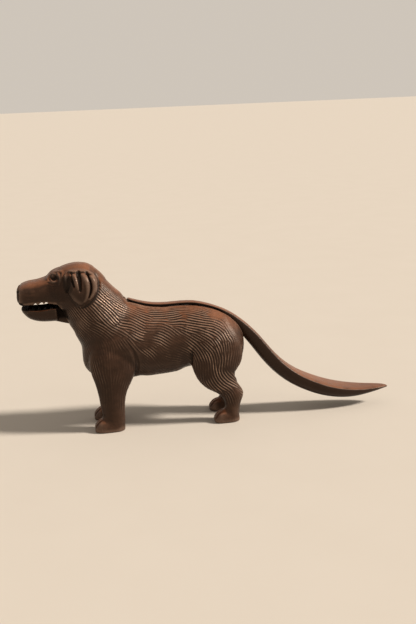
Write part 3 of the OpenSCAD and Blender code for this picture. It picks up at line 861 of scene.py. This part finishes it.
def mesh_piece(name, points, faces, marks):
    """A mesh object from points in mm, with named values for each point."""
    mesh = bpy.data.meshes.new(name)
    mesh.from_pydata((points * MM).tolist(), [], faces)
    for mark, values in marks.items():
        layer = mesh.attributes.new(mark, "FLOAT", "POINT")
        layer.data.foreach_set("value", values.astype(np.float32))
    mesh.polygons.foreach_set("use_smooth", np.ones(len(mesh.polygons), bool))
    mesh.update()
    piece = bpy.data.objects.new(name, mesh)
    bpy.context.scene.collection.objects.link(piece)
    return piece


def triangle_count(piece):
    """How many triangles a piece has."""
    return sum(len(polygon.vertices) - 2 for polygon in piece.data.polygons)


def kept_in_box(piece):
    """Moves the few points that lie a hair outside the CAD box onto it."""
    places = np.empty(len(piece.data.vertices) * 3, np.float32)
    piece.data.vertices.foreach_get("co", places)
    places = np.clip(places.reshape(-1, 3), *(BOX * MM))
    piece.data.vertices.foreach_set("co", places.ravel())
    piece.data.update()


def thinned(piece, hidden):
    """Merges triangles where a piece is hidden, until it has few enough."""
    before = triangle_count(piece)
    group = piece.vertex_groups.new(name="hidden")
    group.add(np.nonzero(hidden)[0].tolist(), 1.0, "REPLACE")
    fewer = piece.modifiers.new("fewer", "DECIMATE")
    fewer.ratio = TRIANGLES / before
    fewer.vertex_group = group.name
    evaluated = piece.evaluated_get(bpy.context.evaluated_depsgraph_get())
    piece.data = bpy.data.meshes.new_from_object(evaluated)
    piece.modifiers.clear()
    piece.vertex_groups.clear()
    print(piece.name, "has", triangle_count(piece), "triangles, before thinning", before)


# %% [markdown]
# Hands rub the edges bright, and the hollows get painted shade.  A blurred block tells both: at a
# flat place its value is zero, over an edge it is above zero and in a hollow below.  A narrow blur
# finds small edges and hollows, and a wide one the sheltered places, such as the mouth, which get
# painted shade too.

# %% Edges and sheltered places
EDGE_SIZE, THIN_EDGE_SIZE = 1.6, 0.7
EDGE_FULL = 0.6
SHELTER_SIZE = 5.0
SHELTER_FULL = 2.6


def edges(block, points, size):
    """Up to 1 on edges and down to -1 in hollows of a size."""
    soft = block.like(blurred(block.values, size))
    return np.clip(soft.sample(points) / EDGE_FULL, -1, 1)


def sheltered_shade(block, other, points):
    """Painted shade: up to 1 in deep places of two blocks together."""
    both = np.minimum(block.values, reaching(block, other))
    soft = block.like(blurred(both, SHELTER_SIZE))
    return np.clip(-soft.sample(points) / SHELTER_FULL, 0, 1)


# %% [markdown]
# Other places get painted shade whatever their shape: the walls of the mouth and the arm's way, the
# pad of the nose, the cheek and the front of the ear, where the ear's shadow falls, and the sides
# and the underside of the strap.

# %% Dark places
# Each pair is where a place's painted shade starts and where it is full: in mm, or as a slope
MOUTH_X, MOUTH_Z, MOUTH_Y = (-100, -104), (98.2, 97.2), (11.0, 9.5)
# Behind its lip the jaw is hollow, and so its painted shade starts further down
JAW_LIP, JAW_TROUGH, JAW_LIP_X = 91.0, 3.4, (-129, -127)
ARM_FRONT, ARM_BACK, ARM_SIDE, ARM_UNDER = (-109.4, -108.4), (-95, -99), (10, 8), (82, 85)
NOSE_X = (-132.2, -133.4)
FACE_SIDE = (8.0, 10.5)
STRAP_FRONT, STRAP_BACK, STRAP_UNDER, STRAP_SLOPE = (-64, -60), (16, 6), (76, 79), (0.75, 0.3)
# Ellipses of painted shade, as [middle, middle, half width, half height, darkness,
# two shares of the size]
NOSE_PAD = (0.0, 102.4, 9.2, 6.3, 0.6, 0.9, 1.05)
CHEEK = (-105.0, 105.5, 11.0, 9.0, 0.38, 0.6, 1.2)
EAR_FRONT = (-99.5, 110.0, 4.5, 8.0, 0.6, 0.6, 1.2)


def fading(value, start, end):
    """0 at start and 1 at end, whichever of them is larger."""
    return 1 - step_up(value, end, start) if start > end else step_up(value, start, end)


def patch(across, up, ellipse):
    """A patch with an ellipse's darkness, which fades between the two shares of its size."""
    middle_across, middle_up, width, height, darkness, inner, outer = ellipse
    away = np.sqrt(((across - middle_across) / width) ** 2 + ((up - middle_up) / height) ** 2)
    return darkness * (1 - step_up(away, inner, outer))


def mouth_shade(points):
    """Painted shade: 1 on the walls of the nut mouth and around the arm behind it, and 0 on the lips.
    """
    x, y, z = points.T
    floor = JAW_LIP - JAW_TROUGH * step_up(x, *JAW_LIP_X)
    under_palate = fading(z, *MOUTH_Z)
    mouth = fading(x, *MOUTH_X) * step_up(z, floor, floor + 1) * under_palate
    throat = fading(x, *ARM_FRONT) * fading(x, *ARM_BACK) * fading(z, *ARM_UNDER) * under_palate
    across = np.abs(y)
    return np.maximum(mouth * fading(across, *MOUTH_Y), throat * fading(across, *ARM_SIDE))


def face_shade(points):
    """Painted shade: above 0 on the pad of the nose, the cheek and the front of the ear."""
    x, y, z = points.T
    nose = patch(y, z, NOSE_PAD) * fading(x, *NOSE_X)
    side = np.maximum(patch(x, z, CHEEK), patch(x, z, EAR_FRONT))
    return np.maximum(nose, side * fading(np.abs(y), *FACE_SIDE))


def strap_shade(block, points):
    """Painted shade: 1 on the sides and the underside of the strap."""
    over_back = fading(points[:, 0], *STRAP_FRONT) * fading(points[:, 0], *STRAP_BACK)
    steep = fading(block.slope(points)[:, 2], *STRAP_SLOPE)
    return over_back * fading(points[:, 2], *STRAP_UNDER) * steep


# %% [markdown]
# ## The two halves of the dog
# The three screws come from the right, so only the right half has their ways and the pockets of
# their heads.  Cylinders cut with Blender's Boolean would need clean edges, and in the grid they
# are one more distance.

# %% The screws' ways
SCREWS = ("head_screw", "shoulder_screw", "hip_screw")
SCREW_HEAD_HEIGHT = 3.0
SCREW_THREAD = 5.0
SCREW_SPACE = 0.3
POCKET_EDGE = 0.5


def screw_ways(block):
    """The block of a half, drilled for the screws, with their pockets in its flank."""
    x, y, z = block.axes()
    drilled = block.values
    for screw in SCREWS:
        low, high = (np.array(corner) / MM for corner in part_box(screw))
        seat = high[1] - SCREW_HEAD_HEIGHT
        away = off_axis(x, z, (low[::2] + high[::2]) / 2)
        way = away - SCREW_THREAD / 2 - SCREW_SPACE + 0 * y
        pocket = np.maximum(away - (high[0] - low[0]) / 2 - SCREW_SPACE, seat + y)
        drilled = cut(drilled, np.minimum(way, pocket), POCKET_EDGE)
        print(screw, "sits", round(float(seat), 1), "mm from the parting plane")
    return block.like(drilled.astype(np.float32))


# %% [markdown]
# Each half is the block on its own side of the parting plane, with its own grown coat.  Nobody
# sees its inside, so that is where triangles are saved.

# %% Body halves
SEAM_EDGE = 0.5
SEAM_GAP = 0.02
# The inside is nearer to the parting plane than this, or faces it above the legs
OUTSIDE = 4.2
FACING_IN = 0.1
ABOVE_LEGS = (40.0, 44.0)
HIDDEN = 0.99
HAIR_DEPTH = 0.5
HAIR_LIMIT = 1.2
# The ear has no hair.  Its ellipse is written as the dark ones are
EAR = (-89.0, 106.0, 11.0, 13.4, 1.0, 0.86, 0.98)
SLOPE_BLUR = 1.0
LEFT_COAT, RIGHT_COAT = 11, 12


def body_half(name, side, seed):
    """One half of the dog with its hair: side is -1 for the left and 1 for the right."""
    half = body.like(body.values)
    if side > 0:
        half = screw_ways(half)
    x, y, z = half.axes()
    half.values = cut(half.values, -(y + SEAM_GAP) + 0 * x * z, SEAM_EDGE).astype(np.float32)
    points, triangles, quads = skin(half)
    normals = body_soft.slope(points)
    near_plane = 1 - step_up(-points[:, 1], OUTSIDE, OUTSIDE + 1)
    hollow = (normals[:, 1] > FACING_IN) * step_up(points[:, 2], *ABOVE_LEGS)
    inside = np.maximum(near_plane, hollow)
    coat, wear = grown_coat(seed)
    px, pz = chart_place(points, normals)
    strength = np.clip(read_chart(depth, px, pz) * read_chart(wear, px, pz), 0, HAIR_LIMIT)
    strength = strength * (1 - inside) * (1 - patch(points[:, 0], points[:, 2], EAR))
    height = read_chart(coat, px, pz) * strength
    marks = {
        "hair": height,
        "edge": edges(half, points, EDGE_SIZE),
        "shade": np.maximum.reduce([
            sheltered_shade(body, lever, points), mouth_shade(points), face_shade(points)
        ]),
    }
    points = points - normals * (0.5 * (strength - height) * HAIR_DEPTH)[:, None]
    points[:, 1] = np.minimum(points[:, 1], 0) * -side
    order = -1 if side > 0 else 1
    faces = quads[:, ::order].tolist() + triangles[:, ::order].tolist()
    piece = mesh_piece(name, points, faces, marks)
    thinned(piece, inside > HIDDEN)
    kept_in_box(piece)
    return piece


body_soft = body.like(blurred(body.values, SLOPE_BLUR))
halves = {
    "left_body_half": body_half("left_half_skin", -1, LEFT_COAT),
    "right_body_half": body_half("right_half_skin", 1, RIGHT_COAT),
}
for node, half in halves.items():
    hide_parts(node)
    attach(half, "body")

# %% [markdown]
# ## The lever's piece
# The lever has no hair.  It takes the same marks for edges and hollows, so that the same finish
# serves for it.

# %% Lever piece
points, triangles, quads = skin(lever)
tail_lever = mesh_piece(
    "lever_skin", points, quads.tolist() + triangles.tolist(),
    {
        "hair": np.zeros(len(points)),
        "edge": edges(lever, points, THIN_EDGE_SIZE),
        "shade": np.maximum.reduce([
            sheltered_shade(lever, body, points), mouth_shade(points), strap_shade(lever, points)
        ]),
    },
)
kept_in_box(tail_lever)
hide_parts("jaw_lever")
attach(tail_lever, "lever")
print("lever_skin has", triangle_count(tail_lever), "triangles")

# %% [markdown]
# ## Writing finishes as sums
# A finish is a tree of small nodes.  Linking each by hand hides what it works out, so one class
# lets a socket be used in sums like a number.

# %% Sockets in sums
class Socket:
    """An output of a node, which can be used in sums like a number."""

    def __init__(self, finish, socket):
        self.finish = finish
        self.socket = socket

    def math(self, operation, first, second):
        """One step of a sum, as a Math node."""
        return self.finish.node("Math", {"operation": operation}, {0: first, 1: second})

    def __add__(self, other):
        return self.math("ADD", self, other)

    def __sub__(self, other):
        return self.math("SUBTRACT", self, other)

    def __rsub__(self, other):
        return self.math("SUBTRACT", other, self)

    def __mul__(self, other):
        return self.math("MULTIPLY", self, other)

    __radd__ = __add__
    __rmul__ = __mul__

    def rising(self, start, end):
        """0 at start and 1 at end, smooth in between."""
        values = {"Value": self, "From Min": start, "From Max": end}
        return self.finish.node("MapRange", {"interpolation_type": "SMOOTHSTEP"}, values)


# %% [markdown]
# Every other node comes from one method, which takes its settings first, and then the values or
# links of its sockets.  The same class serves for the materials and for the world.

# %% Nodes by one method
class Finish:
    """The nodes of a material or a world, written as expressions."""

    def __init__(self, owner, shader="Principled BSDF"):
        owner.use_nodes = True
        self.owner = owner
        self.tree = owner.node_tree
        self.shader = self.tree.nodes[shader]

    def feed(self, target, value):
        """Links a socket to another one, or sets a plain value there."""
        if isinstance(value, Socket):
            self.tree.links.new(value.socket, target)
        else:
            target.default_value = value

    def node(self, kind, settings, values, output=0):
        """Adds a node: its settings first, then the values or links of its sockets."""
        made = self.tree.nodes.new("ShaderNode" + kind)
        for name, value in settings.items():
            setattr(made, name, value)
        for name, value in values.items():
            self.feed(made.inputs[name], value)
        return Socket(self, made.outputs[output])

    def place(self):
        """The place on the piece, in metres."""
        return self.node("TexCoord", {}, {}, "Object")

    def mark(self, name):
        """A value that the mesh keeps at each point."""
        return self.node("Attribute", {"attribute_name": name}, {}, "Fac")

    def noise(self, size, detail=2.0, roughness=0.5):
        """Noise from 0 to 1, with lumps of a size in metres."""
        values = {"Vector": self.place(), "Scale": 1 / size, "Detail": detail, "Roughness": roughness}
        return self.node("TexNoise", {}, values)

    def mix(self, first, second, share):
        """A colour between two colours."""
        return self.node("Mix", {"data_type": "RGBA"}, {0: share, 6: first, 7: second}, 2)

    def surface(self, **values):
        """Feeds the shader: base_color=... feeds Base Color."""
        for name, value in values.items():
            self.feed(self.shader.inputs[name.replace("_", " ").title()], value)

    def bump(self, height, distance):
        """Grain too fine for the mesh, as deep as distance in metres."""
        values = {"Strength": 1.0, "Distance": distance, "Height": height}
        self.surface(normal=self.node("Bump", {}, values))


# %% [markdown]
# ## Waxed iron
# The dog was blacked and waxed, and a century of hands has turned the wax brown.  It is rubbed
# thin on the edges and the ridges of the hair.  Its tops get painted light, which makes them
# redder, and its undersides, grooves, hollows and mouth get painted shade, down to nearly black.
# Painted pictures could hold all this, but the marks on the mesh and a few noises say it in a dozen
# sums.

# %% The iron's finish
# Nearly black, for the painted shade in grooves, hollows and sheltered places
SHADE_BLACK = (0.0060, 0.0032, 0.0022, 1)
DARK_BROWN = (0.0165, 0.0070, 0.0040, 1)
# The red brown of the painted light on the tops
BROWN = (0.080, 0.037, 0.0210, 1)
TOP_LIGHT_RED = (0.260, 0.098, 0.046, 1)
RUBBED = (0.345, 0.222, 0.158, 1)
GLOSS = 0.28
GLOSS_TINT = (1.0, 0.80, 0.66, 1)
# Between these slopes of the surface the painted shade comes in: 1 looks up and -1 down
BODY_SHADE_SLOPES, LEVER_SHADE_SLOPES = (0.35, -0.3), (0.8, 0.35)
BODY_WEAR, LEVER_WEAR = 0.35, 0.6


def iron_finish(name, edge_wear, shade_slopes):
    """Cast iron under old brown wax, rubbed on its edges, with painted light and painted shade."""
    iron = Finish(bpy.data.materials.new(name))
    hair = iron.mark("hair")
    edge = iron.mark("edge")
    shade = iron.mark("shade")
    normal = iron.node("NewGeometry", {}, {}, "Normal")
    upward = iron.node("SeparateXYZ", {}, {"Vector": normal}, 2)
    clouds = iron.noise(0.022, 3)
    stains = iron.noise(0.0045, 4, 0.6)
    specks = iron.noise(0.0009, 3, 0.6)
    grain = iron.noise(0.0004, 2)

    groove = hair.rising(0.0, -0.7) + edge.rising(-0.15, -0.8) * 0.95
    ridge = hair.rising(0.12, 0.8) * 0.9 + edge.rising(0.15, 0.9) * edge_wear
    # Painted light: faces that look up turn redder, in patches, as if lit from above
    top_light = upward.rising(0.42, 0.88) * (clouds * 0.6 + stains * 0.7).rising(0.15, 0.75)
    rubbed = ridge * (stains * 0.8 + specks * 0.5).rising(0.15, 0.75)

    colour = iron.mix(DARK_BROWN, BROWN, (clouds * 0.8 + stains * 0.6 + specks * 0.2).rising(0.5, 1.1))
    # Painted shade: faces that look down, and on the lever all but its tops, turn dark brown
    colour = iron.mix(colour, DARK_BROWN, upward.rising(*shade_slopes) * 0.88)
    colour = iron.mix(colour, TOP_LIGHT_RED, top_light * 0.85)
    colour = iron.mix(colour, RUBBED, rubbed)
    # Painted shade: the hair's grooves and the hollows go nearly black
    colour = iron.mix(colour, SHADE_BLACK, groove.rising(0, 0.95) * 0.95)
    # Painted shade: sheltered places, the mouth, the face and the strap go nearly black
    colour = iron.mix(colour, SHADE_BLACK, shade.rising(0.05, 0.8))
    iron.surface(
        base_color=colour,
        roughness=0.36 + (stains - 0.5) * 0.35 + groove * 0.15 + shade * 0.6 - rubbed * 0.1,
        metallic=rubbed * 0.35,
        specular_tint=GLOSS_TINT,
    )
    iron.shader.inputs["Specular IOR Level"].default_value = GLOSS
    iron.bump(grain * 0.35 + specks * 0.5 + stains * 0.8, 0.00022)
    return iron.owner


for half in halves.values():
    half_iron = iron_finish(half.name.replace("skin", "iron"), BODY_WEAR, BODY_SHADE_SLOPES)
    half.data.materials.append(half_iron)
tail_lever.data.materials.append(iron_finish("lever_iron", LEVER_WEAR, LEVER_SHADE_SLOPES))
print("nodes in the finish:", len(tail_lever.active_material.node_tree.nodes))

# %% [markdown]
# ## Turned steel
# The pin, the dowels and the screws are turned from steel bar, and were blued and then handled.
# The lathe left fine rings round each, which lie across the dog in this frame, so the noise for
# them is squeezed along Y.

# %% The steel's finish
BLUED = (0.085, 0.085, 0.095, 1)
BRIGHT = (0.36, 0.345, 0.33, 1)
OIL_BROWN = (0.10, 0.062, 0.040, 1)
SQUEEZE = (0.15, 6.0, 0.15)


def steel_finish(name):
    """Blued steel, bright where it is worn and brown with old oil."""
    steel = Finish(bpy.data.materials.new(name))
    squeezed = steel.node("VectorMath", {"operation": "MULTIPLY"}, {0: steel.place(), 1: SQUEEZE})
    rings = steel.node("TexNoise", {}, {"Vector": squeezed, "Scale": 900.0, "Detail": 2.0})
    clouds = steel.noise(0.003, 3)
    specks = steel.noise(0.0006, 3, 0.6)
    worn = (clouds * 0.8 + specks * 0.6).rising(0.55, 0.95)
    colour = steel.mix(BLUED, BRIGHT, worn * 0.7 + rings * 0.12)
    colour = steel.mix(colour, OIL_BROWN, (specks * 0.5 + clouds * 0.7).rising(0.72, 0.45) * 0.7)
    steel.surface(
        base_color=colour,
        roughness=0.28 + rings * 0.16 + specks * 0.14,
        metallic=0.72 + worn * 0.28,
    )
    steel.bump(rings * 0.8 + specks * 0.3, 0.00005)
    return steel.owner


hardware = ("pivot_pin", "front_dowel", "rear_dowel", *SCREWS)
for node in hardware:
    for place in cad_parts[node].material_slots:
        place.material = steel_finish(node + "_steel")
print("steel pieces:", ", ".join(hardware))

# %% [markdown]
# ## Floor and light
# The dog stands on a plain pale floor.  In the photograph a low, warm light comes from behind the
# tail and grazes the flank, so that every hair shows.  Area lamps light the floor unevenly, so a
# sun with a wide disc is used, and the pale world fills its shadows.

# %% Floor
FLOOR_SIZE = 30.0
FLOOR_COLOUR = (0.76, 0.67, 0.57, 1)
FLOOR_SHADE = (0.73, 0.64, 0.54, 1)

corner = FLOOR_SIZE / MM / 2
corners = [(-corner, -corner, 0), (corner, -corner, 0), (corner, corner, 0), (-corner, corner, 0)]
floor = mesh_piece("floor", np.array(corners), [(0, 1, 2, 3)], {})
paper = Finish(bpy.data.materials.new("floor_paper"))
paper.surface(
    base_color=paper.mix(FLOOR_COLOUR, FLOOR_SHADE, paper.noise(0.05, 3)),
    roughness=0.8,
)
floor.data.materials.append(paper.owner)
print("the floor is", FLOOR_SIZE, "m wide")

# %% [markdown]
# The world gives about a quarter of the light.  What the camera and the gloss see of it is twice as
# bright, which Light Path's rays tell apart, so that the pale background adds no light.

# %% Sun and world
SUN_FROM = Vector((0.80, -0.20, 0.57))
SUN_DISC = math.radians(9)
SUN_STRENGTH = 4.2
SUN_COLOUR = (1.0, 0.95, 0.88)
WORLD_LIGHT = (0.31, 0.29, 0.265, 1)
WORLD_SEEN = (0.62, 0.56, 0.49, 1)

sun = bpy.data.lights.new("low_sun", "SUN")
sun.angle = SUN_DISC
sun.energy = SUN_STRENGTH
sun.color = SUN_COLOUR
lamp = bpy.data.objects.new("low_sun", sun)
lamp.rotation_euler = (-SUN_FROM).to_track_quat("-Z", "Y").to_euler()
bpy.context.scene.collection.objects.link(lamp)

studio = Finish(bpy.data.worlds.new("studio"), "Background")
ray_kinds = ("Is Camera Ray", "Is Glossy Ray", "Is Transmission Ray")
camera_ray, glossy_ray, passing_ray = (studio.node("LightPath", {}, {}, kind) for kind in ray_kinds)
studio.surface(color=studio.mix(WORLD_LIGHT, WORLD_SEEN, camera_ray + glossy_ray + passing_ray))
bpy.context.scene.world = studio.owner
bpy.context.scene.view_settings.view_transform = "Standard"
print("the sun stands", round(math.degrees(math.asin(SUN_FROM.normalized().z))), "degrees high")
